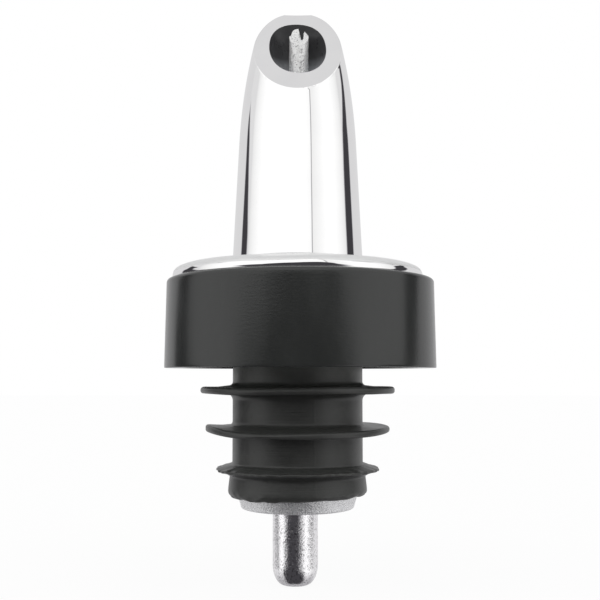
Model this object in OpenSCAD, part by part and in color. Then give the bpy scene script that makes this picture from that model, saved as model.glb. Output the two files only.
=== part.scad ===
// Liquor pour spout with a loose collar, a finned cork sleeve and a ball-checked air tube.
// Millimetres, +Z up. The origin is on the main axis, in the plane where the collar's
// web rests on the bottle's lip. The mouth faces -Y.

/* [Snout] */
// Radius of the snout where it meets the flange
snout_base_r = 8.48; // [8.3:0.01:8.6]
// Height of the snout's base above the lip seat
snout_base_z = 5.35; // [5.2:0.05:5.6]
// Height of the snout's flat tip above the lip seat
snout_tip_z = 39.95; // [38.5:0.05:41]
// Loss of radius for each millimetre of height
snout_taper = 0.05; // [0.03:0.005:0.07]
// Height above the base where the nose starts to round in
nose_start = 14.9; // [12:0.1:16]
// Radius lost to the nose over its first 20 mm
nose_drop = 2.7; // [2.4:0.1:3]
// How sharply the nose rounds in
nose_power = 2.1; // [1.9:0.1:2.5]
// Height of the mouth's cut on the main axis
mouth_z = 35.15; // [33.5:0.05:36]
// Angle of the mouth's cut above the horizontal
mouth_angle = 51.1; // [49:0.1:53]
// Radius of the pouring bore
bore_r = 3.7; // [3.4:0.01:3.8]
// Offset of the pouring bore towards the lip
bore_y = -1.45; // [-1.6:0.05:-1.2]

/* [Flange and shank] */
// Radius of the flange
flange_r = 16.25; // [15.5:0.05:16.6]
// Height of the flange's straight edge
flange_edge = 0.4; // [0.3:0.1:0.8]
// Radius of the flange's rounded shoulder
flange_shoulder = 1.1; // [0.8:0.1:1.2]
// Radius of the softer curve from the shoulder to the flange's top
flange_dome_r = 4.5; // [3:0.5:6]
// Rise of the flange's top from that curve to the snout
flange_rise = 0.1; // [0.05:0.05:0.3]
// Radius of the cove between the flange and the snout
cove_r = 0.5; // [0.4:0.1:0.8]
// Outer radius of the shank
shank_r = 7; // [6.8:0.05:7.2]
// Radius of the liquid passage in the shank
passage_r = 5.8; // [5.6:0.05:6]

/* [Collar] */
// Outer radius at the rim
collar_rim_r = 17.55; // [17.2:0.05:18]
// Outer radius at the top
collar_top_r = 17.35; // [17.2:0.05:17.5]
// Depth of the skirt below the lip seat
skirt_depth = 8.8; // [7:0.05:9.2]
// Radius inside the skirt
skirt_inner_r = 15.3; // [15:0.05:15.6]
// Thickness of the web over the bottle's lip
web_t = 2.6; // [2:0.05:3]
// Radius of the hole round the shank
collar_hole_r = 7.65; // [7.6:0.05:7.8]
// Radius of the shallow recess that clears the sleeve's top
recess_r = 8.9; // [8.9:0.05:9.2]
// Depth of the recess
recess_h = 0.3; // [0.2:0.05:0.5]
// Sideways rest position of the loose ring
collar_x = 0.35; // [0:0.05:0.35]
// Radius of the rounded top edge
collar_edge = 0.5; // [0.3:0.1:0.8]

/* [Cork sleeve] */
// Outer radius between the fins
sleeve_r = 8.4; // [8.2:0.01:8.5]
// Outer radius where the bottom end starts to flare
flare_top_r = 8.75; // [8.5:0.05:8.8]
// Outer radius at the bottom end
sleeve_end_r = 8.95; // [8.85:0.05:9.2]
// Height of the bottom end
sleeve_end_z = -24.95; // [-25.5:0.05:-24.5]
// Outer radius of each of the three fins, top first
fin_r = [12.6, 11.9, 10.5]; // [10:0.05:13]
// Height of the middle of the top fin
top_fin_z = -11.5; // [-12.5:0.05:-10.5]
// Height of the middle of the middle fin
middle_fin_z = -16.55; // [-17.5:0.05:-15.5]
// Height of the middle of the lowest fin
low_fin_z = -21.7; // [-22:0.05:-20.5]
// Thickness of each fin at its tip, top first
fin_tip = [0.85, 0.8, 0.4]; // [0.4:0.05:0.9]
// Extra half thickness of each fin at its root, top first
fin_gain = [0.1, 0.1, 0.4]; // [0.05:0.05:0.5]
// Radius of the fillets at the fins' roots
fin_fillet = 0.5; // [0.3:0.05:0.6]

/* [Foot ring] */
// Radius of the rim at its top
foot_top_r = 7.7; // [7.4:0.05:7.9]
// Radius of the rim at its bottom
foot_bottom_r = 7.3; // [7:0.05:7.5]
// Height of the rim
foot_h = 1.7; // [1.5:0.1:2.2]
// Radius inside the ring
foot_inner_r = 5.1; // [4.9:0.05:5.2]
// Length of the spigot in the shank
spigot_h = 3; // [2:0.5:4]
// Radius of the hub that holds the ball chamber
hub_r = 3.8; // [3.7:0.05:3.9]
// Number of spokes between the hub and the ring
spokes = 3; // [3:1:4]
// Width of a spoke
spoke_w = 1.2; // [1:0.1:1.6]

/* [Air way] */
// Outer radius of the ball chamber
chamber_r = 2.9; // [2.85:0.01:3]
// Radius inside the ball chamber
chamber_inner_r = 2.3; // [2.25:0.01:2.35]
// Height of the chamber's closed end
chamber_end_z = -36.35; // [-37:0.05:-35.8]
// Height of the chamber's open end
chamber_top_z = -19; // [-20:0.5:-18]
// Radius of the rounded corner of the closed end
chamber_corner = 1.7; // [1.2:0.1:1.8]
// Thickness of the closed end round its air hole
chamber_end_t = 0.6; // [0.5:0.1:0.8]
// Radius of the air hole in the closed end
air_hole_r = 1; // [0.8:0.1:1.1]
// Sideways offset of the chamber
chamber_x = -0.3; // [-0.3:0.05:0]
// Radius of the check ball
ball_r = 2; // [1.9:0.05:2]
// Outer radius of the breather tube
breather_r = 1.3; // [1.2:0.05:1.3]
// Radius inside the breather tube
breather_inner_r = 0.6; // [0.5:0.05:0.8]
// Height of the breather tube's lower tip
breather_low_z = -25.2; // [-26:0.1:-25]
// Angle of the oblique cut at the breather tube's lower tip
breather_low_angle = 30; // [15:5:40]
// Backward offset of the breather tube
breather_y = 0.2; // [0:0.05:0.3]
// Sideways lean of the breather tube
breather_lean = 0.45; // [0:0.05:0.5]
// Length of the bush between the tubes
bush_h = 5; // [4:0.5:6]

/* [Hidden] */
$fn = 96;
// Overlap that keeps cutting shapes clear of the faces they cut
eps = 0.05;
// Size of a cutting block larger than the whole spout
cut_size = 60;
// Gap between the collar and the faces above and below it
face_gap = 0.05;
// Gap between the resting ball and its seat
ball_gap = 0.03;
// Heights of the fins, top first
fin_z = [top_fin_z, middle_fin_z, low_fin_z];
flange_z = web_t + face_gap;
sleeve_top_z = recess_h - face_gap;
snout_h = snout_tip_z - snout_base_z;
snout_steps = 20;
nose_length = 20;
// The bore opens into a wider, tapering throat, and that into the passage
throat_r = 5.1;
throat_z = snout_base_z + 3;
passage_top_z = -2;
foot_z = sleeve_end_z - foot_h;
// The ball's seat is a 45 degree cone between the air hole and the chamber
seat_z = chamber_end_z + chamber_end_t;
seat_h = chamber_inner_r - air_hole_r;
ball_rest_z = seat_z - air_hole_r + ball_r * sqrt(2) + ball_gap;
bush_z = chamber_top_z - bush_h;
breather_h = cut_size + 8;

// Points along an arc, from angle a0 to angle a1
function arc(centre, r, a0, a1, steps = 8) =
    [for (i = [0:steps])
        let (a = a0 + (a1 - a0) * i / steps)
            [centre[0] + r * cos(a), centre[1] + r * sin(a)]];

// Radius of the snout at height t above its base
function snout_r(t) =
    snout_base_r - snout_taper * t
    - nose_drop * pow(max(0, t - nose_start) / nose_length, nose_power);

// Outline of one fin, from its upper root to its lower root
function fin_outline(i, below_r = sleeve_r) =
    let (tip = fin_tip[i] / 2,
         root = tip + fin_gain[i],
         corner = tip * 0.55,
         tip_x = fin_r[i] - corner)
    concat(
        arc([sleeve_r + fin_fillet, fin_z[i] + root + fin_fillet], fin_fillet, 180, 270),
        arc([tip_x, fin_z[i] + tip - corner], corner, 90, 0, 4),
        arc([tip_x, fin_z[i] - tip + corner], corner, 0, -90, 4),
        arc([below_r + fin_fillet, fin_z[i] - root - fin_fillet], fin_fillet, 90, 180));

// Everything on the mouth's side of the oblique cut
module above_mouth() {
    translate([0, 0, mouth_z])
        rotate([mouth_angle, 0, 0])
            translate([-cut_size / 2, -cut_size / 2, 0])
                cube(cut_size);
}

// Outline of the casting: shank, domed flange, cove and bullet-shaped snout
module casting_outline() {
    shoulder_end = 66;
    dome_end = 86;
    cove_start = 266;
    cove_end = 190;
    shoulder = [flange_r - flange_shoulder, flange_z + flange_edge];
    dome = shoulder - (flange_dome_r - flange_shoulder) * [cos(shoulder_end), sin(shoulder_end)];
    dome_top_z = dome[1] + flange_dome_r * sin(dome_end);
    cove = [snout_base_r + cove_r, dome_top_z + flange_rise + cove_r];
    polygon(concat(
        [[0, sleeve_end_z], [shank_r, sleeve_end_z], [shank_r, flange_z], [flange_r, flange_z]],
        arc(shoulder, flange_shoulder, 0, shoulder_end),
        arc(dome, flange_dome_r, shoulder_end, dome_end, 4),
        arc(cove, cove_r, cove_start, cove_end, 6),
        [for (i = [1:snout_steps])
            let (t = snout_h * i / snout_steps)
                [snout_r(t), snout_base_z + t]],
        [[0, snout_tip_z]]));
}

// Spout casting: snout, flange and hollow shank in one piece
module spout_body() {
    color([0.86, 0.87, 0.88])
    difference() {
        rotate_extrude()
            casting_outline();
        above_mouth();
        translate([0, bore_y, throat_z - eps])
            cylinder(h = cut_size, r = bore_r);
        translate([0, 0, passage_top_z])
            cylinder(h = throat_z - passage_top_z, r1 = passage_r, r2 = throat_r);
        translate([0, 0, sleeve_end_z - eps])
            cylinder(h = passage_top_z - sleeve_end_z + 2 * eps, r = passage_r);
    }
}

// Loose collar: a web over the bottle's lip with a skirt round it
module collar_ring() {
    inner_corner = 0.6;
    color([0.16, 0.16, 0.16])
    translate([collar_x, 0, 0])
        rotate_extrude()
            polygon(concat(
                [[skirt_inner_r, -skirt_depth], [collar_rim_r, -skirt_depth]],
                arc([collar_top_r - collar_edge, web_t - collar_edge], collar_edge, 0, 90),
                [[collar_hole_r, web_t], [collar_hole_r, recess_h], [recess_r, recess_h], [recess_r, 0]],
                arc([skirt_inner_r - inner_corner, -inner_corner], inner_corner, 90, 0)));
}

// Flexible cork sleeve with three fins and a flared end
module cork_sleeve() {
    end_corner = 0.25;
    color([0.2, 0.2, 0.2])
    rotate_extrude()
        polygon(concat(
            [[shank_r, sleeve_top_z], [sleeve_r, sleeve_top_z]],
            fin_outline(0),
            fin_outline(1),
            fin_outline(2, flare_top_r),
            arc([sleeve_end_r - end_corner, sleeve_end_z + end_corner], end_corner, 0, -90, 4),
            [[shank_r, sleeve_end_z]]));
}

// Ring pressed into the shank, with a hub on spokes and liquid ports between them
module foot_ring() {
    edge = 0.3;
    spoke_overlap = 0.6;
    first_spoke = 90;
    color([0.62, 0.63, 0.64])
    difference() {
        union() {
            rotate_extrude()
                polygon(concat(
                    [[foot_inner_r, foot_z]],
                    arc([foot_bottom_r - edge, foot_z + edge], edge, -90, 0, 4),
                    [[foot_top_r, sleeve_end_z],
                     [passage_r, sleeve_end_z],
                     [passage_r, sleeve_end_z + spigot_h],
                     [foot_inner_r, sleeve_end_z + spigot_h]]));
            for (i = [0:spokes - 1])
                rotate([0, 0, first_spoke + i * 360 / spokes])
                    translate([hub_r - spoke_overlap, -spoke_w / 2, foot_z])
                        cube([foot_inner_r - hub_r + 1.3 * spoke_overlap, spoke_w, foot_h]);
            translate([chamber_x, 0, foot_z])
                cylinder(h = foot_h + spigot_h, r = hub_r);
        }
        translate([chamber_x, 0, foot_z - eps])
            cylinder(h = foot_h + spigot_h + 2 * eps, r = chamber_r);
    }
}

// Lower air tube: a closed round end with a seat for the ball
module ball_chamber() {
    color([0.72, 0.72, 0.73])
    translate([chamber_x, 0, 0])
        difference() {
            rotate_extrude()
                polygon(concat(
                    [[0, chamber_end_z]],
                    arc([chamber_r - chamber_corner, chamber_end_z + chamber_corner],
                        chamber_corner, -90, 0),
                    [[chamber_r, chamber_top_z], [0, chamber_top_z]]));
            translate([0, 0, seat_z + seat_h])
                cylinder(h = chamber_top_z - seat_z, r = chamber_inner_r);
            translate([0, 0, seat_z])
                cylinder(h = seat_h, r1 = air_hole_r, r2 = chamber_inner_r);
            translate([0, 0, chamber_end_z - eps])
                cylinder(h = chamber_end_t + 2 * eps, r = air_hole_r);
        }
}

// Places its children along the leaning breather tube
module on_breather() {
    translate([chamber_x, breather_y, bush_z])
        rotate([0, breather_lean, 0])
            children();
}

// Bush that joins the two air tubes and keeps the ball in the chamber
module tube_bush() {
    color([0.7, 0.7, 0.7])
    difference() {
        translate([chamber_x, 0, bush_z])
            cylinder(h = bush_h, r = chamber_inner_r);
        on_breather()
            translate([0, 0, -bush_h])
                cylinder(h = 3 * bush_h, r = breather_r);
    }
}

// Breather tube up to the mouth, cut obliquely at both ends
module breather_tube() {
    block = 10;
    color([0.78, 0.78, 0.79])
    difference() {
        on_breather()
            translate([0, 0, breather_low_z - bush_z])
                difference() {
                    cylinder(h = breather_h, r = breather_r);
                    translate([0, 0, -eps])
                        cylinder(h = breather_h + 2 * eps, r = breather_inner_r);
                }
        above_mouth();
        translate([chamber_x - block / 2, breather_r, breather_low_z])
            rotate([-breather_low_angle, 0, 0])
                translate([0, -block, -block])
                    cube([block, 2 * block, block]);
    }
}

// Steel ball that shuts the air hole until the bottle is tipped
module check_ball() {
    color([0.75, 0.76, 0.78])
    translate([chamber_x, 0, ball_rest_z])
        sphere(r = ball_r);
}

spout_body();
collar_ring();
cork_sleeve();
foot_ring();
ball_chamber();
tube_bush();
breather_tube();
check_ball();
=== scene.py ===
"""Looks of the liquor pour spout. The shape code is in millimetres, and MM turns them into metres."""

import math

import bmesh
import bpy
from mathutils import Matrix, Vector, noise


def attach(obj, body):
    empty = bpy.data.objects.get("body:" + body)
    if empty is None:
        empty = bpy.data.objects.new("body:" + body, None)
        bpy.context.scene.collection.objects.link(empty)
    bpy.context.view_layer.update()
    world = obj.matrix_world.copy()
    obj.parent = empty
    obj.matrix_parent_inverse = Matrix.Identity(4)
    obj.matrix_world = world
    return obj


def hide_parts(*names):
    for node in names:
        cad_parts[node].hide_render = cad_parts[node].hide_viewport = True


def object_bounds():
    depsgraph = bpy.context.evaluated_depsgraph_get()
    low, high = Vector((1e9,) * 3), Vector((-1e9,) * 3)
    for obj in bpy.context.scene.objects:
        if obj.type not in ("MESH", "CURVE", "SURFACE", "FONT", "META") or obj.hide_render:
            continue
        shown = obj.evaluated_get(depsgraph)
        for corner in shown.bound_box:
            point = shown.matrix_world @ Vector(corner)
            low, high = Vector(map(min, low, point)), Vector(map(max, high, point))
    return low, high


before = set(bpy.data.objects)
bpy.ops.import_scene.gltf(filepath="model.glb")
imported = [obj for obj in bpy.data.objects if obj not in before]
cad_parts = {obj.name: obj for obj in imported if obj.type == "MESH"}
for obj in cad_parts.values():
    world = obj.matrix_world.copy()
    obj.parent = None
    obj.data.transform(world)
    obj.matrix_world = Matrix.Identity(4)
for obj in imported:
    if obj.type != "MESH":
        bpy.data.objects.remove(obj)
CAD_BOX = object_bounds()

MM = 0.001
TURN = 2 * math.pi

# Snout
SNOUT_BASE_R = 8.48
SNOUT_BASE_Z = 5.35
SNOUT_TIP_Z = 39.95
SNOUT_TAPER = 0.05
NOSE_START = 14.9
NOSE_DROP = 2.7
NOSE_LENGTH = 20.0
NOSE_POWER = 2.1
MOUTH_Z = 35.15
MOUTH_SLOPE = math.tan(math.radians(51.1))
BORE_R = 3.7
BORE_Y = -1.45

TIP_SQUARENESS = 0.035
TIP_CROWN = 0.02
HOLE_SQUARENESS = 0.02
HOLE_TOP_SQUARENESS = 0.05
HOLE_SKEW = 0.24

# Flange, shank and the passage inside
FLANGE_R = 16.25
FLANGE_Z = 2.65
FLANGE_EDGE = 0.4
SHOULDER_R = 1.1
SHOULDER_END = 66
DOME_R = 4.5
DOME_END = 86
FLANGE_RISE = 0.1
COVE_R = 0.5
POLISH_END = 20
SHANK_R = 7.0
PASSAGE_R = 5.8
PASSAGE_TOP_Z = -2.0
THROAT_R = 5.1
THROAT_Z = SNOUT_BASE_Z + 3.0

# Collar
COLLAR_X = 0.35
COLLAR_RIM_R = 17.55
COLLAR_TOP_R = 17.35
COLLAR_HOLE_R = 7.65
COLLAR_EDGE = 0.5
RECESS_R = 8.9
RECESS_H = 0.3
SKIRT_R = 15.3
SKIRT_DEPTH = 8.8
WEB_T = 2.6

# Sleeve
SLEEVE_R = 8.4
SLEEVE_TOP_Z = 0.25
SLEEVE_END_R = 8.95
SLEEVE_END_Z = -24.95
FLARE_TOP_R = 8.75
FINS = (
    {"r": 12.6, "z": -11.55, "tip": 0.9, "waist": 0.78, "root": 1.05, "above": 0.5, "below": 0.9},
    {"r": 11.9, "z": -16.55, "tip": 0.8, "waist": 0.72, "root": 0.9, "above": 0.5, "below": 0.6},
    {"r": 10.5, "z": -21.7, "tip": 0.35, "waist": 0.8, "root": 1.25, "above": 0.35, "below": 0.3},
)

# Air way
CHAMBER_X = -0.3
CHAMBER_R = 2.9
CHAMBER_INNER_R = 2.3
CHAMBER_END_Z = -36.35
CHAMBER_TOP_Z = -19.0
CHAMBER_CORNER = 1.5
CHAMBER_CORNER_H = 2.5
AIR_HOLE_R = 1.0
SEAT_Z = CHAMBER_END_Z + 0.6
BREATHER_R = 1.3
BREATHER_INNER_R = 0.6
BREATHER_LOW_Z = -25.2
BREATHER_LOW_SLOPE = math.tan(math.radians(30))
BREATHER_Y = 0.2
BREATHER_LEAN = math.tan(math.radians(0.45))
BUSH_Z = CHAMBER_TOP_Z - 5.0


# ---------------------------------------------------------------- mesh helpers

def arc(centre, radius, start, end, steps):
    """Points on an arc from angle start to angle end, in degrees."""
    points = []
    for i in range(steps + 1):
        a = math.radians(start + (end - start) * i / steps)
        points.append((centre[0] + radius * math.cos(a), centre[1] + radius * math.sin(a)))
    return points


def line(start, end, steps):
    """Points from start to end, without the last one."""
    return [tuple(s + (e - s) * i / steps for s, e in zip(start, end)) for i in range(steps)]


def mix(a, b, t):
    """The point at part t of the way from a to b."""
    return tuple(p + (q - p) * t for p, q in zip(a, b))


def rounded(before, corner, after, t):
    """A point on the curve that rounds a corner off."""
    return mix(mix(before, corner, t), mix(corner, after, t), t)


def smooth(value, low, high):
    """Rises smoothly from 0 at low to 1 at high."""
    t = min(1.0, max(0.0, (value - low) / (high - low)))
    return t * t * (3 - 2 * t)


def bump_at(angle, centre, width):
    """1 at the centre angle, fading to 0 at width away. Degrees, and angle in radians."""
    away = abs((math.degrees(angle) - centre + 180) % 360 - 180)
    return 1.0 - smooth(away, 0.0, width)


def ring_noise(angle, z, around, along, seed=0.0):
    """Noise that closes up round the axis."""
    x = around * math.sin(angle) + seed
    y = around * math.cos(angle)
    return noise.noise(Vector((x, y, along * z + seed)))


def make_object(name, vertices, faces, materials, sharp):
    """A smooth-shaded mesh object with creases where faces meet at more than the sharp angle."""
    mesh = bpy.data.meshes.new(name)
    mesh.from_pydata([Vector(v) * MM for v in vertices], [], faces)
    bm = bmesh.new()
    bm.from_mesh(mesh)
    bmesh.ops.recalc_face_normals(bm, faces=bm.faces)
    bm.to_mesh(mesh)
    bm.free()
    mesh.polygons.foreach_set("use_smooth", [True] * len(mesh.polygons))
    mesh.set_sharp_from_angle(angle=math.radians(sharp))
    for material in materials:
        mesh.materials.append(material)
    obj = bpy.data.objects.new(name, mesh)
    bpy.context.scene.collection.objects.link(obj)
    return obj


def ring_skin(name, rings, sectors, materials, sharp=35.0, slots=None):
    """A closed skin through rings. Each ring turns an angle, 0 on the mouth's side, into a point.

    slots gives the material of the band above each ring, where there is more than one."""
    vertices = [ring(TURN * j / sectors) for ring in rings for j in range(sectors)]
    count = len(rings)
    faces = []
    for i in range(count):
        n = (i + 1) % count
        for j in range(sectors):
            k = (j + 1) % sectors
            faces.append((i * sectors + j, i * sectors + k, n * sectors + k, n * sectors + j))
    skin = make_object(name, vertices, faces, materials, sharp)
    if slots:
        skin.data.polygons.foreach_set("material_index", [slot for slot in slots for _ in range(sectors)])
    return skin


def circle(radius, z, y=0.0):
    """A ring of that radius at height z, with its centre at y."""
    return lambda a: (radius * math.sin(a), y - radius * math.cos(a), z)


def bent_circle(radius, z, x, bend):
    """A ring that bend moves outwards and upwards, angle by angle."""
    def ring(a):
        out, up = bend(radius, z, a)
        return (x + (radius + out) * math.sin(a), -(radius + out) * math.cos(a), z + up)
    return ring


def lathe(name, outline, sectors, material, x, bend):
    """Turns a closed (radius, height) outline about a vertical axis at x, and bends it."""
    rings = [bent_circle(r, z, x, bend) for r, z in outline]
    return ring_skin(name, rings, sectors, [material])


def mount_piece(piece, body, node):
    """Puts a piece on its body, in place of its CAD node."""
    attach(piece, body)
    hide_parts(node)


# ------------------------------------------------------------ material helpers

def new_material(name):
    """An empty Principled material: the material, its tree and its shader."""
    material = bpy.data.materials.new(name)
    material.use_nodes = True
    tree = material.node_tree
    return material, tree, tree.nodes["Principled BSDF"]


def add(tree, kind, **values):
    """Adds a node and sets its properties."""
    node = tree.nodes.new(kind)
    for key, value in values.items():
        setattr(node, key, value)
    return node


def place(tree, stretch=(1, 1, 1)):
    """The object's own coordinates in metres, stretched."""
    coordinates = add(tree, "ShaderNodeTexCoord")
    mapping = add(tree, "ShaderNodeMapping")
    mapping.inputs["Scale"].default_value = stretch
    tree.links.new(coordinates.outputs["Object"], mapping.inputs["Vector"])
    return mapping.outputs["Vector"]


def noise_value(tree, scale, detail, rough, stretch=(1, 1, 1)):
    """Noise with that many cells to the metre."""
    node = add(tree, "ShaderNodeTexNoise")
    node.inputs["Scale"].default_value = scale
    node.inputs["Detail"].default_value = detail
    node.inputs["Roughness"].default_value = rough
    tree.links.new(place(tree, stretch), node.inputs["Vector"])
    return node.outputs["Fac"]


def height_value(tree):
    """Height above the origin, in metres."""
    split = add(tree, "ShaderNodeSeparateXYZ")
    tree.links.new(place(tree), split.inputs[0])
    return split.outputs["Z"]


def map_range(tree, source, low, high, to_low, to_high, kind="LINEAR"):
    """Goes from to_low at low to to_high at high, clamped outside."""
    node = add(tree, "ShaderNodeMapRange", interpolation_type=kind)
    node.inputs["From Min"].default_value = low
    node.inputs["From Max"].default_value = high
    node.inputs["To Min"].default_value = to_low
    node.inputs["To Max"].default_value = to_high
    tree.links.new(source, node.inputs["Value"])
    return node.outputs["Result"]


def ramp(tree, source, stops):
    """A colour ramp through (place, grey or colour) stops."""
    node = add(tree, "ShaderNodeValToRGB")
    elements = node.color_ramp.elements
    while len(elements) < len(stops):
        elements.new(0.5)
    for element, (spot, colour) in zip(elements, stops):
        element.position = spot
        element.color = (*colour, 1.0) if isinstance(colour, tuple) else (colour, colour, colour, 1.0)
    tree.links.new(source, node.inputs["Fac"])
    return node.outputs["Color"]


def add_bump(tree, shader, height, distance, strength, below=None):
    """Bump from a height, on top of an earlier bump."""
    node = add(tree, "ShaderNodeBump")
    node.inputs["Distance"].default_value = distance
    node.inputs["Strength"].default_value = strength
    tree.links.new(height, node.inputs["Height"])
    if below:
        tree.links.new(below, node.inputs["Normal"])
    tree.links.new(node.outputs["Normal"], shader.inputs["Normal"])
    return node.outputs["Normal"]


# ------------------------------------------------------------------- materials

def chrome_plate():
    """Mirror chrome over a die casting: faint waviness, haze and fine wiping marks."""
    material, tree, shader = new_material("chrome_plate")
    shader.inputs["Metallic"].default_value = 1.0
    smudge = noise_value(tree, 180, 4.0, 0.6)
    tone = ramp(tree, smudge, ((0.3, (0.90, 0.898, 0.90)), (0.7, (0.935, 0.933, 0.93))))
    tree.links.new(tone, shader.inputs["Base Color"])
    marks = noise_value(tree, 900, 2.0, 0.6, (1, 1, 0.08))
    tree.links.new(map_range(tree, marks, 0.35, 0.75, 0.02, 0.06), shader.inputs["Roughness"])
    wave = noise_value(tree, 240, 1.0, 0.4)
    add_bump(tree, shader, wave, 0.00003, 0.3)
    return material


def satin_plate():
    """Unpolished plate on top of the flange."""
    material, tree, shader = new_material("satin_plate")
    shader.inputs["Metallic"].default_value = 0.5
    shader.inputs["Roughness"].default_value = 0.32
    cloud = noise_value(tree, 500, 4.0, 0.6)
    tone = ramp(tree, cloud, ((0.3, (0.80, 0.803, 0.80)), (0.7, (0.84, 0.843, 0.84))))
    tree.links.new(tone, shader.inputs["Base Color"])
    add_bump(tree, shader, cloud, 0.00002, 0.3)
    return material


def bore_metal():
    """Bare grey casting inside the bore, with painted light and shade: near-black towards the mouth for
    the bore's shade, and pale deeper down for light bounced inside it.
    """
    material, tree, shader = new_material("bore_metal")
    shader.inputs["Metallic"].default_value = 0.2
    # Painted light and shade by height: pale deep down for bounced light, near-black at the mouth for
    # shade.
    rise = map_range(tree, height_value(tree), 0.024, 0.039, 0.0, 1.0)
    deep_painted_glow, middle, mouth = (0.78, 0.80, 0.84), (0.1, 0.1, 0.104), (0.014, 0.014, 0.016)
    tone = ramp(tree, rise, ((0.42, deep_painted_glow), (0.6, middle), (0.85, mouth)))
    tree.links.new(tone, shader.inputs["Base Color"])
    stain = noise_value(tree, 900, 4.0, 0.6)
    tree.links.new(map_range(tree, stain, 0.3, 0.7, 0.25, 0.4), shader.inputs["Roughness"])
    add_bump(tree, shader, stain, 0.0001, 0.3)
    return material


def moulded_plastic():
    """Satin black plastic of the collar: fine mould grain, faint flow bands and dust."""
    material, tree, shader = new_material("moulded_plastic")
    cloud = noise_value(tree, 220, 4.0, 0.6, (1, 1, 0.4))
    tone = ramp(tree, cloud, ((0.3, (0.029, 0.0305, 0.0295)), (0.7, (0.035, 0.037, 0.0355))))
    tree.links.new(tone, shader.inputs["Base Color"])
    tree.links.new(map_range(tree, cloud, 0.3, 0.7, 0.14, 0.22), shader.inputs["Roughness"])
    scuff = noise_value(tree, 1500, 2.0, 0.6, (1, 1, 3.0))
    grain = noise_value(tree, 9000, 2.0, 0.6)
    lower = add_bump(tree, shader, scuff, 0.00003, 0.25)
    add_bump(tree, shader, grain, 0.00001, 0.4, lower)
    return material


def sleeve_rubber():
    """Flexible black sleeve: duller than the collar, with mould rings, and painted fill light above the
    top fin, where the collar's shadow falls.
    """
    material, tree, shader = new_material("sleeve_rubber")
    cloud = noise_value(tree, 400, 5.0, 0.6)
    tone = ramp(tree, cloud, ((0.3, (0.045, 0.0465, 0.044)), (0.75, (0.059, 0.0605, 0.0575))))
    # Painted light: the base colour is raised up to 3.4 times above the top fin, to fill the collar's
    # shadow there.
    painted_fill = map_range(tree, height_value(tree), -0.0118, -0.0104, 1.0, 3.4)
    fill_lit_tone = add(tree, "ShaderNodeVectorMath", operation="SCALE")
    tree.links.new(tone, fill_lit_tone.inputs[0])
    tree.links.new(painted_fill, fill_lit_tone.inputs["Scale"])
    tree.links.new(fill_lit_tone.outputs[0], shader.inputs["Base Color"])
    shader.inputs["Specular IOR Level"].default_value = 0.4
    tree.links.new(map_range(tree, cloud, 0.3, 0.7, 0.3, 0.4), shader.inputs["Roughness"])
    rings = noise_value(tree, 1200, 2.0, 0.6, (0.15, 0.15, 4.0))
    grain = noise_value(tree, 6000, 3.0, 0.6)
    lower = add_bump(tree, shader, rings, 0.00003, 0.7)
    add_bump(tree, shader, grain, 0.00002, 0.4, lower)
    return material


def cast_metal(name, base, dark, rough, grain, depth, metallic=1.0):
    """Unpolished metal with a sparkling grain.

    dark is the brightness of its flecks, grain the number of them to the metre, depth their relief."""
    material, tree, shader = new_material(name)
    shader.inputs["Metallic"].default_value = metallic
    fleck = noise_value(tree, grain, 3.0, 0.7)
    low = tuple(dark * c for c in base)
    tone = ramp(tree, fleck, ((0.34, low), (0.44, base)))
    tree.links.new(tone, shader.inputs["Base Color"])
    spread = 0.25 * rough
    shine = map_range(tree, fleck, 0.3, 0.7, rough + spread, rough - spread)
    tree.links.new(shine, shader.inputs["Roughness"])
    swell = noise_value(tree, grain * 0.3, 2.0, 0.5)
    lower = add_bump(tree, shader, swell, depth, 0.5)
    add_bump(tree, shader, fleck, depth, 1.0, lower)
    return material


CHROME = chrome_plate()
SATIN = satin_plate()
BORE = bore_metal()
PLASTIC = moulded_plastic()
RUBBER = sleeve_rubber()
FOOT = cast_metal("foot_metal", (0.97, 0.972, 0.98), 0.68, 0.3, 4200, 0.0001, 0.68)
TUBE = cast_metal("tube_metal", (0.96, 0.95, 0.965), 0.42, 0.12, 3600, 0.000038)
BREATHER = cast_metal("breather_metal", (0.99, 0.99, 0.98), 0.12, 0.34, 5200, 0.00007, 0.45)
BRASS = cast_metal("bush_metal", (0.78, 0.62, 0.36), 0.8, 0.3, 3000, 0.00003)
BALL = cast_metal("ball_metal", (0.72, 0.73, 0.75), 0.9, 0.14, 3000, 0.00001)


# ------------------------------------------------------------------- the spout

def snout_r(z):
    """Radius of the snout at height z."""
    t = z - SNOUT_BASE_Z
    nose = max(0.0, t - NOSE_START) / NOSE_LENGTH
    return SNOUT_BASE_R - SNOUT_TAPER * t - NOSE_DROP * nose ** NOSE_POWER


def mouth_plane(y):
    """Height of the mouth's cut at y."""
    return MOUTH_Z + MOUTH_SLOPE * y


def squared(angle, amount):
    """Factor that makes a circle slightly square."""
    return 1.0 + amount * math.sin(2 * angle) ** 2


def snout_skin(angle, z):
    """Point on the snout, which is slightly square behind the mouth."""
    behind = max(0.0, -math.cos(angle))
    r = snout_r(z) * squared(angle, TIP_SQUARENESS * behind * smooth(z, 33, 38.5))
    return (r * math.sin(angle), -r * math.cos(angle), z)


def rim_height(angle):
    """Height at which the snout's skin meets the mouth's cut or its blunt tip."""
    halvings = 50
    low, high = SNOUT_BASE_Z, SNOUT_TIP_Z
    for _ in range(halvings):
        z = (low + high) / 2
        x, y, _ = snout_skin(angle, z)
        if z < min(mouth_plane(y), SNOUT_TIP_Z - TIP_CROWN * x * x):
            low = z
        else:
            high = z
    return low


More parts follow.
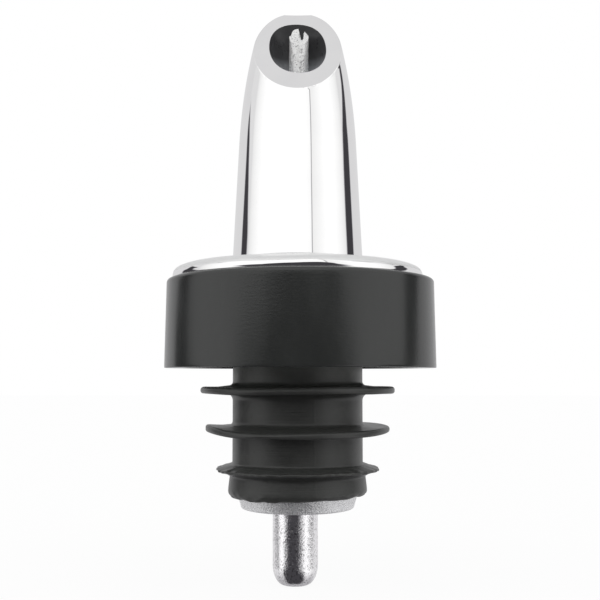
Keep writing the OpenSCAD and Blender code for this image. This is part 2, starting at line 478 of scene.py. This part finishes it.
def flange_outline():
    """Half outline of the casting from the shank's end to the snout's foot: polished part, satin part."""
    corner = 0.12
    shoulder = (FLANGE_R - SHOULDER_R, FLANGE_Z + FLANGE_EDGE)
    inward = DOME_R - SHOULDER_R
    end = math.radians(SHOULDER_END)
    dome = (shoulder[0] - inward * math.cos(end), shoulder[1] - inward * math.sin(end))
    dome_top = dome[1] + DOME_R * math.sin(math.radians(DOME_END))
    cove_z = dome_top + FLANGE_RISE + COVE_R
    cove = (snout_r(cove_z) + COVE_R, cove_z)
    polished = line((SHANK_R, SLEEVE_END_Z), (SHANK_R, FLANGE_Z), 12)
    polished += line((SHANK_R, FLANGE_Z), (FLANGE_R - corner, FLANGE_Z), 8)
    polished += arc((FLANGE_R - corner, FLANGE_Z + corner), corner, -90, 0, 4)
    polished += arc(shoulder, SHOULDER_R, 0, POLISH_END, 8)[:-1]
    satin = arc(shoulder, SHOULDER_R, POLISH_END, SHOULDER_END, 14)
    satin += arc(dome, DOME_R, SHOULDER_END, DOME_END, 10)[1:]
    cove_arc = arc(cove, COVE_R, 266, 183, 12)
    satin += line(satin[-1], cove_arc[0], 12)[1:]
    return polished, satin + cove_arc


def flange_bend(r, z, angle):
    """Hand-polished unevenness of the flange's shoulder and the broken edge of its polish."""
    if z < FLANGE_Z + 0.15 or r < SHANK_R + 3:
        return 0.0, 0.0
    reach = smooth(r, 12.0, 15.5)
    lift = 0.09 * bump_at(angle, 9, 12) - 0.05 * bump_at(angle, -13, 12)
    edge_z = FLANGE_Z + FLANGE_EDGE + SHOULDER_R * math.sin(math.radians(POLISH_END))
    near_edge = 1.0 - smooth(abs(z - edge_z), 0.0, 0.06)
    dip = 0.05 * near_edge * smooth(ring_noise(angle, 0, 5.0, 0, 2.2), -0.1, 0.4)
    return -dip, reach * lift


def make_spout():
    """Snout, flange and hollow shank as one skin round the bore."""
    polish, bare, satin = range(3)
    outer_round = 0.24
    inner_round = 0.1
    sectors = 288
    wall_rings, edge_rings, face_rings, lip_rings, bore_rings = 90, 8, 8, 4, 40
    polished_part, satin_part = flange_outline()
    foot_z = satin_part[-1][1] + 0.25
    heights = {TURN * j / sectors: rim_height(TURN * j / sectors) for j in range(sectors)}

    def rim(angle):
        return snout_skin(angle, heights[angle])

    def below_rim(angle, part):
        return snout_skin(angle, foot_z + (heights[angle] - outer_round - foot_z) * part)

    def hole(angle):
        r = BORE_R * squared(angle, HOLE_TOP_SQUARENESS if math.cos(angle) < 0 else HOLE_SQUARENESS)
        y = BORE_Y - 0.985 * r * math.cos(angle)
        return (1.01 * r * math.sin(angle) + HOLE_SKEW * math.cos(angle), y, mouth_plane(y))

    def outer_edge(angle, t):
        """Rounded edge between wall and face, with a slight broken burr along the lower lip."""
        x, y, z = rounded(below_rim(angle, 1.0), rim(angle), on_face(angle, outer_round), t)
        from_lip = abs(math.degrees(math.atan2(math.sin(angle), math.cos(angle))))
        broken = smooth(ring_noise(angle, 0, 16.0, 0, 4.4), -0.1, 0.3)
        burr = 0.035 * (1.0 - smooth(from_lip, 35, 75)) * broken * math.sin(math.pi * t)
        return (x + burr * math.sin(angle), y - burr * math.cos(angle), z)

    def face_width(angle):
        return (Vector(hole(angle)) - Vector(rim(angle))).length

    def on_face(angle, inset):
        return mix(rim(angle), hole(angle), inset / face_width(angle))

    def across_face(angle, part):
        return on_face(angle, outer_round + (face_width(angle) - outer_round - inner_round) * part)

    def in_bore(angle, depth):
        x, y, z = hole(angle)
        return (x, y, z - depth)

    def inner_edge(angle, t):
        before = on_face(angle, face_width(angle) - inner_round)
        return rounded(before, hole(angle), in_bore(angle, inner_round), t)

    def down_bore(angle, part):
        x, y, z = in_bore(angle, inner_round)
        return (x, y, z + (THROAT_Z - z) * part)

    bands = [(bent_circle(r, z, 0.0, flange_bend), polish) for r, z in polished_part]
    bands += [(bent_circle(r, z, 0.0, flange_bend), satin) for r, z in satin_part]
    for i in range(wall_rings):
        bands.append((lambda a, u=i / wall_rings: below_rim(a, u), polish))
    for i in range(edge_rings + 1):
        bands.append((lambda a, t=i / edge_rings: outer_edge(a, t), polish))
    for i in range(1, face_rings):
        bands.append((lambda a, u=i / face_rings: across_face(a, u), polish))
    for i in range(lip_rings + 1):
        bands.append((lambda a, t=i / lip_rings: inner_edge(a, t), polish if i < lip_rings / 2 else bare))
    for i in range(1, bore_rings):
        bands.append((lambda a, u=i / bore_rings: down_bore(a, u), bare))
    bands.append((circle(BORE_R, THROAT_Z, y=BORE_Y), bare))
    bands.append((circle(THROAT_R, THROAT_Z), bare))
    for z in (PASSAGE_TOP_Z, -8.0, -14.0, -20.0, SLEEVE_END_Z):
        bands.append((circle(PASSAGE_R, z), bare))

    rings, slots = zip(*bands)
    piece = ring_skin("spout_skin", rings, sectors, [CHROME, BORE, SATIN], 50.0, slots)
    mount_piece(piece, "spout", "spout_body")


# ------------------------------------------------------------------ the collar

def collar_bend(r, z, angle):
    """Slight shrinkage of the moulded skirt."""
    if r < SKIRT_R + 1:
        return 0.0, 0.0
    return 0.02 * ring_noise(angle, z, 2.2, 0.12) - 0.02, 0.0


def make_collar():
    """Loose collar with a soft top edge, a crisp rim and a hollow skirt."""
    rim = 0.1
    corner = 0.6
    outline = arc((SKIRT_R + rim, -SKIRT_DEPTH + rim), rim, 180, 270, 4)
    outline += line((SKIRT_R + 0.3, -SKIRT_DEPTH), (COLLAR_RIM_R - rim, -SKIRT_DEPTH), 4)
    outline += arc((COLLAR_RIM_R - rim, -SKIRT_DEPTH + rim), rim, -90, 0, 4)
    outline += line((COLLAR_RIM_R, -SKIRT_DEPTH + 0.3), (COLLAR_TOP_R, WEB_T - COLLAR_EDGE), 24)
    outline += arc((COLLAR_TOP_R - COLLAR_EDGE, WEB_T - COLLAR_EDGE), COLLAR_EDGE, 0, 90, 10)
    outline += line((COLLAR_TOP_R - COLLAR_EDGE - 0.3, WEB_T), (COLLAR_HOLE_R, WEB_T), 8)
    outline += [(COLLAR_HOLE_R, WEB_T), (COLLAR_HOLE_R, WEB_T / 2), (COLLAR_HOLE_R, RECESS_H)]
    outline += [(RECESS_R, RECESS_H), (RECESS_R, 0.0)]
    outline += line((RECESS_R + 0.2, 0.0), (SKIRT_R - corner, 0.0), 6)
    outline += arc((SKIRT_R - corner, -corner), corner, 90, 0, 6)
    outline += line((SKIRT_R, -corner - 0.4), (SKIRT_R, -SKIRT_DEPTH + 0.4), 8)
    piece = lathe("collar_shell", outline, 256, PLASTIC, COLLAR_X, collar_bend)
    mount_piece(piece, "collar", "collar_ring")


# ------------------------------------------------------------------ the sleeve

def fin_outline(fin, below_r):
    """Outline of one fin, from its upper root to its lower root. Its edge is a soft bead."""
    z = fin["z"]
    tip = fin["tip"] / 2
    waist = fin["waist"] / 2
    root = fin["root"] / 2
    bead = tip * 0.8
    tip_x = fin["r"] - bead
    waist_x = SLEEVE_R + 0.5 * (fin["r"] - SLEEVE_R)
    above = fin["above"]
    below = fin["below"]
    points = arc((SLEEVE_R + above, z + root + above), above, 180, 270, 8)
    points += line((SLEEVE_R + above + 0.1, z + root), (waist_x, z + waist), 4)
    points += line((waist_x, z + waist), (tip_x, z + tip), 6)
    points += arc((tip_x, z + tip - bead), bead, 90, 0, 6)
    points += arc((tip_x, z - tip + bead), bead, 0, -90, 6)
    points += line((tip_x - 0.1, z - tip), (waist_x, z - waist), 6)
    points += line((waist_x, z - waist), (below_r + below, z - root), 4)
    points += arc((below_r + below, z - root - below), below, 90, 180, 8)
    return points


def sleeve_bend(r, z, angle):
    """Waves in the thin fins, ragged and drooping lower edges and the moulding's parting line."""
    side = math.sin(angle)
    reach = max(0.0, r - SLEEVE_R - 0.3) / 4
    lift = 0.22 * reach * ring_noise(angle, round(z), 1.5, 1.0)
    out = -0.06 * reach
    if abs(z - FINS[0]["z"]) < 1.2:
        lift += reach * (0.05 * side - 0.1)
    if abs(z - FINS[1]["z"]) < 1.2:
        around = (math.degrees(angle) + 180) % 360 - 180
        even = smooth(around, 0, 125) + smooth(-around, 135, 180)
        droop = (1.0 - even) * (1.0 - bump_at(angle, -82, 42))
        lift += reach * (0.16 * smooth(-side, 0.5, 1.0) - 0.55 * droop)
    if abs(z - FINS[2]["z"]) < 1.2:
        ragged = ring_noise(angle, 0, 14.0, 0, 3.1)
        out += 0.28 * reach * (ragged - 0.4)
        lift += 0.25 * reach * ring_noise(angle, 0, 9.0, 0, 7.7)
    near_end = 1.0 - smooth(z, SLEEVE_END_Z + 0.1, SLEEVE_END_Z + 0.9)
    if r > SHANK_R + 0.8:
        out += -0.16 * near_end * (0.5 + ring_noise(angle, z, 8.0, 3.0, 1.3))
        lift += 0.14 * near_end * max(0.0, 0.2 + ring_noise(angle, 0, 6.0, 0, 5.2))
        lift -= 0.26 * near_end * bump_at(angle, -50, 75)
    seam = bump_at(angle, 14, 1.2) + bump_at(angle, 194, 1.2)
    if r > SLEEVE_R - 0.01:
        out += 0.015 * seam
    return out, lift


def make_sleeve():
    """Cork sleeve with three thin fins and a flared end."""
    end_corner = 0.55
    outline = [(SHANK_R, SLEEVE_TOP_Z), (SLEEVE_R - 0.1, SLEEVE_TOP_Z), (SLEEVE_R, SLEEVE_TOP_Z - 0.1)]
    last_z = SLEEVE_TOP_Z - 0.4
    for fin in FINS:
        below_r = FLARE_TOP_R if fin is FINS[-1] else SLEEVE_R
        points = fin_outline(fin, below_r)
        outline += line((SLEEVE_R, last_z), (SLEEVE_R, points[0][1] + 0.1), 10)
        outline += points
        last_z = points[-1][1] - 0.1
    end = (SLEEVE_END_R - end_corner, SLEEVE_END_Z + end_corner)
    outline += line((FLARE_TOP_R, last_z), (SLEEVE_END_R, end[1]), 10)
    outline += arc(end, end_corner, 0, -90, 10)
    outline += line((end[0] - 0.1, SLEEVE_END_Z), (SHANK_R, SLEEVE_END_Z), 6)
    outline += line((SHANK_R, SLEEVE_END_Z), (SHANK_R, SLEEVE_TOP_Z), 12)
    piece = lathe("sleeve_skin", outline, 360, RUBBER, 0.0, sleeve_bend)
    mount_piece(piece, "spout", "cork_sleeve")


# ------------------------------------------------------------------ the air way

def chamber_bend(r, z, angle):
    """Small dents of the tumbled tube."""
    if r < CHAMBER_INNER_R + 0.1:
        return 0.0, 0.0
    return 0.022 * ring_noise(angle, z, 1.8, 0.7) - 0.012, 0.0


def make_chamber():
    """Lower air tube with its rounded end, air hole and ball seat."""
    flat_r = CHAMBER_R - CHAMBER_CORNER
    seat_top = SEAT_Z + CHAMBER_INNER_R - AIR_HOLE_R
    stretch = CHAMBER_CORNER_H / CHAMBER_CORNER
    outline = [(AIR_HOLE_R, CHAMBER_END_Z + 0.05), (AIR_HOLE_R + 0.05, CHAMBER_END_Z)]
    for r, h in arc((flat_r, CHAMBER_CORNER), CHAMBER_CORNER, -90, 0, 24):
        outline.append((r, CHAMBER_END_Z + stretch * h))
    outline += line((CHAMBER_R, CHAMBER_END_Z + CHAMBER_CORNER_H + 0.3), (CHAMBER_R, CHAMBER_TOP_Z), 40)
    outline += [(CHAMBER_R, CHAMBER_TOP_Z), (CHAMBER_INNER_R, CHAMBER_TOP_Z)]
    outline += line((CHAMBER_INNER_R, CHAMBER_TOP_Z - 0.3), (CHAMBER_INNER_R, seat_top), 20)
    outline += line((CHAMBER_INNER_R, seat_top), (AIR_HOLE_R, SEAT_Z), 6)
    outline += [(AIR_HOLE_R, SEAT_Z)]
    piece = lathe("chamber_tube", outline, 128, TUBE, CHAMBER_X, chamber_bend)
    mount_piece(piece, "spout", "ball_chamber")


def make_breather():
    """Breather tube: rough wall with a burred seam, a slit at the mouth and an oblique lower tip."""
    metal, shadow = range(2)
    sectors = 144
    slit_x, slit_y = 0.34, 0.27
    slit_half_w, slit_half_l = 0.3, 0.8
    scratch_z = 32.3
    cut_inset = 0.06
    coarse_rings, fine_rings = 60, 120
    fine_from = 0.82

    def axis_x(z):
        return CHAMBER_X + BREATHER_LEAN * (z - BUSH_Z)

    def wall(radius, angle, z):
        return (axis_x(z) + radius * math.sin(angle), BREATHER_Y - radius * math.cos(angle), z)

    def cut(x, y):
        """Height of the oblique cut, with a notch behind the slit and two uneven prongs beside it."""
        px = x - axis_x(MOUTH_Z)
        py = y - BREATHER_Y
        notch = (1.0 - smooth(abs(px - slit_x), 0.25, 0.4)) * smooth(py, 0.6, 0.95)
        left = smooth(-px, 0.75, 1.25) * smooth(py, 0.0, 0.9)
        right = smooth(px, 0.6, 0.8) * smooth(py, 0.0, 0.7)
        return mouth_plane(y) - 1.5 * notch - 0.6 * left - 0.2 * right

    def top(radius, angle):
        x, y, _ = wall(radius, angle, MOUTH_Z)
        return (x, y, cut(x, y))

    def slit(angle, drop):
        x = axis_x(MOUTH_Z) + slit_x + slit_half_w * math.sin(angle)
        y = BREATHER_Y + slit_y - slit_half_l * math.cos(angle)
        return (x, y, cut(x, y) - drop)

    def low(radius, angle):
        y = -radius * math.cos(angle)
        return wall(radius, angle, BREATHER_LOW_Z + (BREATHER_R - y) * BREATHER_LOW_SLOPE)

    def seam_depth(angle, z):
        """The broken seam on the right of the front, and one scratch on the left."""
        seam = bump_at(angle, 17, 7) * smooth(noise.noise(Vector((0, 7, 3.0 * z))), -0.1, 0.15)
        above = z - scratch_z
        scratch = bump_at(angle, 32 * above - 35, 6) * (1.0 - smooth(abs(above), 0.2, 0.4))
        return 0.17 * seam + 0.12 * scratch

    def side(angle, part):
        bottom = low(BREATHER_R, angle)[2]
        z = bottom + (top(BREATHER_R, angle)[2] - bottom) * part
        dent = 0.03 * ring_noise(angle, z, 3.0, 1.3) - 0.02 - seam_depth(angle, z)
        return wall(BREATHER_R + dent, angle, z)

    parts = [fine_from * i / coarse_rings for i in range(coarse_rings)]
    parts += [fine_from + (1.0 - fine_from) * i / fine_rings for i in range(fine_rings)]
    bands = [(lambda a, u=u: side(a, u), metal) for u in parts]
    bands += [(lambda a, r=BREATHER_R - d: top(r, a), metal) for d in (0.02, cut_inset)]
    bands += [(lambda a, t=t: mix(top(BREATHER_R - cut_inset, a), slit(a, 0.0), t), metal)
              for t in (0.2, 0.4, 0.6, 0.8)]
    bands += [(lambda a, d=d: slit(a, d), shadow) for d in (0.0, 0.3, 0.8, 1.6)]
    bands.append((lambda a: wall(BREATHER_INNER_R, a, MOUTH_Z - 4.5), shadow))
    bands += [(lambda a, z=z: wall(BREATHER_INNER_R, a, z), shadow) for z in (20.0, 5.0, -10.0)]
    bands.append((lambda a: low(BREATHER_INNER_R, a), metal))
    bands.append((lambda a: low(BREATHER_R - 0.1, a), metal))
    rings, slots = zip(*bands)
    piece = ring_skin("breather_pipe", rings, sectors, [BREATHER, BORE], 40.0, slots)
    mount_piece(piece, "spout", "breather_tube")


def finish_cad_node(node, material):
    """Gives a carried-over CAD node its material."""
    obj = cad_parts[node]
    obj.data.materials.clear()
    obj.data.materials.append(material)


make_spout()
make_collar()
make_sleeve()
make_chamber()
make_breather()
finish_cad_node("foot_ring", FOOT)
finish_cad_node("tube_bush", BRASS)
finish_cad_node("check_ball", BALL)


# ------------------------------------------------------------- light and stage

class Field:
    """Arithmetic on values in a node tree."""

    def __init__(self, tree):
        self.tree = tree

    def math(self, operation, a, b=None):
        """One Math node. a and b are sockets or numbers."""
        node = add(self.tree, "ShaderNodeMath", operation=operation)
        for socket, value in zip(node.inputs, (a, b)):
            if value is None:
                continue
            if isinstance(value, (int, float)):
                socket.default_value = value
            else:
                self.tree.links.new(value, socket)
        return node.outputs[0]

    def ramp(self, value, low, high, to_low=0.0, to_high=1.0, kind="SMOOTHSTEP"):
        """Goes smoothly, or as kind says, from to_low at low to to_high at high."""
        return map_range(self.tree, value, low, high, to_low, to_high, kind)

    def table(self, value, rows, column):
        """Straight lines through (value, column) of rows."""
        total = rows[0][column]
        for start, end in zip(rows, rows[1:]):
            step = self.ramp(value, start[0], end[0], 0.0, end[column] - start[column], "LINEAR")
            total = self.math("ADD", step, total)
        return total

    def patch(self, turn, rise, rows, soft):
        """1 inside a patch whose (elevation, centre, half width) rows give its outline."""
        centre = self.table(rise, rows, 1)
        half = self.table(rise, rows, 2)
        away = self.math("ABSOLUTE", self.math("SUBTRACT", turn, centre))
        return self.ramp(self.math("SUBTRACT", half, away), -soft, soft)

    def band(self, value, low, high, soft):
        """1 between low and high, with soft edges."""
        rise = self.ramp(value, low - soft, low + soft)
        fall = self.ramp(value, high - soft, high + soft)
        return self.math("SUBTRACT", rise, fall)

    def cover(self, below, mask, level):
        """Replaces a level where the mask is 1."""
        change = self.math("SUBTRACT", level, below)
        return self.math("ADD", below, self.math("MULTIPLY", change, mask))

    def dim(self, level, mask, loss):
        """Takes a part of a level away where the mask is 1."""
        return self.math("MULTIPLY", level, self.math("SUBTRACT", 1.0, self.math("MULTIPLY", mask, loss)))


# Dark patches of the light tent: elevation, centre and half width, in degrees
OPENING = ((-89, -5, -12), (-83, -5, 100), (-70, -5, 100), (-58, -5, 82), (-46, -6, 66),
           (-32, -10, 60), (-20, -13, 55), (-12, -17, 36), (-6, -3, 43), (1, -5, 52),
           (4, -3, 44), (6, 0, 34), (8, 2, -20))
OPENING_TOP = ((3, 2, -4), (4, 2, 33), (7, 2, 32), (9, 3, 28), (11, 4, 17), (12.5, 5, -4))
LEFT_GAP = ((-24, -95, -1), (-20, -95, 2.5), (-9.5, -95, 2.5), (-7.5, -108, 17), (-3, -108, 18),
            (0, -114, 14), (3, -116, 11), (5, -117, 9), (7, -115, 8.5), (9.5, -110.5, 8.5),
            (12, -110, 8.5), (16, -112.5, 5), (20, -115, 2.5), (25, -117, -3))
RIGHT_GAP = ((-9.5, 86, -3), (-7.5, 86, 19), (-3, 86, 20), (0, 99, 8), (3, 105, 8), (9, 108, 10),
             (15, 108, 10), (19, 108.5, 8), (22, 112, 7), (26, 119, 5), (30, 121, 3.5), (35, 118.5, 2.5),
             (40, 116, 2), (44, 115, -3))


def light_tent():
    """White light tent: dimmer roof and back, an opening for the camera, two gaps and a seam."""
    white = 1.12
    side_white = 0.78
    dim_white = 0.735
    dark = 0.055
    world = bpy.data.worlds.new("light_tent")
    bpy.context.scene.world = world
    world.use_nodes = True
    tree = world.node_tree
    field = Field(tree)
    split = add(tree, "ShaderNodeSeparateXYZ")
    tree.links.new(add(tree, "ShaderNodeTexCoord").outputs["Generated"], split.inputs[0])
    x, y, z = split.outputs
    degrees = 180 / math.pi
    forward = field.math("MULTIPLY", y, -1.0)
    turn = field.math("MULTIPLY", field.math("ARCTAN2", x, forward), degrees)
    rise = field.math("MULTIPLY", field.math("ARCSINE", z), degrees)
    side = field.math("ABSOLUTE", turn)

    edge = field.math("POWER", field.ramp(side, 70, 98, 1.0, 0.0, "LINEAR"), 0.5)
    level = field.math("ADD", field.math("MULTIPLY", edge, white - side_white), side_white)

    right_half = field.ramp(turn, 25.5, 26.5)
    shade = field.math("MULTIPLY", right_half, field.ramp(turn, 28, 54, 0.17, 0.0, "LINEAR"))
    level = field.dim(level, shade, 1.0)
    near = field.math("SUBTRACT", field.ramp(turn, 12, 25), right_half)
    level = field.dim(level, near, 0.06)
    level = field.dim(level, field.band(turn, 25.1, 26.9, 0.5), 0.55)

    level = field.cover(level, field.ramp(side, 116, 121), dim_white)
    level = field.dim(level, field.band(rise, 64.5, 66.5, 1.0), 0.25)
    level = field.cover(level, field.ramp(rise, 66, 69), dim_white)
    level = field.dim(level, field.ramp(rise, -18, -40, 0.0, 1.0), 0.4)

    for rows, soft in ((LEFT_GAP, 2.0), (RIGHT_GAP, 2.0), (OPENING, 7.0), (OPENING_TOP, 2.5)):
        level = field.cover(level, field.patch(turn, rise, rows, soft), dark)

    tint = ramp(tree, level, ((0.0, (0.93, 0.89, 1.0)), (0.5, (0.985, 0.975, 1.0)), (0.9, 1.0)))
    background = tree.nodes["Background"]
    tree.links.new(tint, background.inputs["Color"])
    tree.links.new(level, background.inputs["Strength"])


def glowing_paint(name, glow, diffuse):
    """Pale stage paint: some of its light is its own and the rest is what falls on it."""
    material, _, shader = new_material(name)
    shader.inputs["Base Color"].default_value = (diffuse, diffuse, diffuse, 1.0)
    shader.inputs["Roughness"].default_value = 1.0
    shader.inputs["Specular IOR Level"].default_value = 0.0
    shader.inputs["Emission Color"].default_value = (1.0, 1.0, 1.0, 1.0)
    shader.inputs["Emission Strength"].default_value = glow
    return material


def make_stage():
    """Pale floor under the spout and a pale backdrop all round. Only the camera sees them."""
    floor_z = CAD_BOX[0][2]
    half = 1.2
    signs = ((-1, -1), (1, -1), (1, 1), (-1, 1))
    corners = [(half * x, half * y, floor_z) for x, y in signs]
    floor_mesh = bpy.data.meshes.new("floor")
    floor_mesh.from_pydata(corners, [], [(0, 1, 2, 3)])
    floor_mesh.materials.append(glowing_paint("floor_paint", 0.92, 0.08))
    floor = bpy.data.objects.new("floor", floor_mesh)

    dome_mesh = bpy.data.meshes.new("backdrop")
    bm = bmesh.new()
    bmesh.ops.create_icosphere(bm, subdivisions=4, radius=1.6)
    bm.to_mesh(dome_mesh)
    bm.free()
    dome_mesh.materials.append(glowing_paint("backdrop_paint", 1.0, 0.0))
    dome = bpy.data.objects.new("backdrop", dome_mesh)
    for stage in (floor, dome):
        bpy.context.scene.collection.objects.link(stage)
        stage.visible_glossy = False
        stage.visible_diffuse = False
        stage.visible_transmission = False
        stage.visible_shadow = False


def make_camera():
    """Camera just under the collar's rim, looking slightly up, as the spout was photographed."""
    focal_px = 960.0
    frame_px = 600.0
    place_mm = (0.31, -125.12, -9.84)
    pitch = 4.53
    data = bpy.data.cameras.new("camera")
    data.sensor_width = 36.0
    data.lens = data.sensor_width * focal_px / frame_px
    data.clip_start = 0.005
    data.clip_end = 10.0
    camera = bpy.data.objects.new("camera", data)
    camera.location = Vector(place_mm) * MM
    camera.rotation_euler = (math.radians(90 + pitch), 0.0, 0.0)
    bpy.context.scene.collection.objects.link(camera)
    bpy.context.scene.camera = camera


light_tent()
make_stage()
make_camera()
bpy.context.scene.view_settings.view_transform = "Standard"
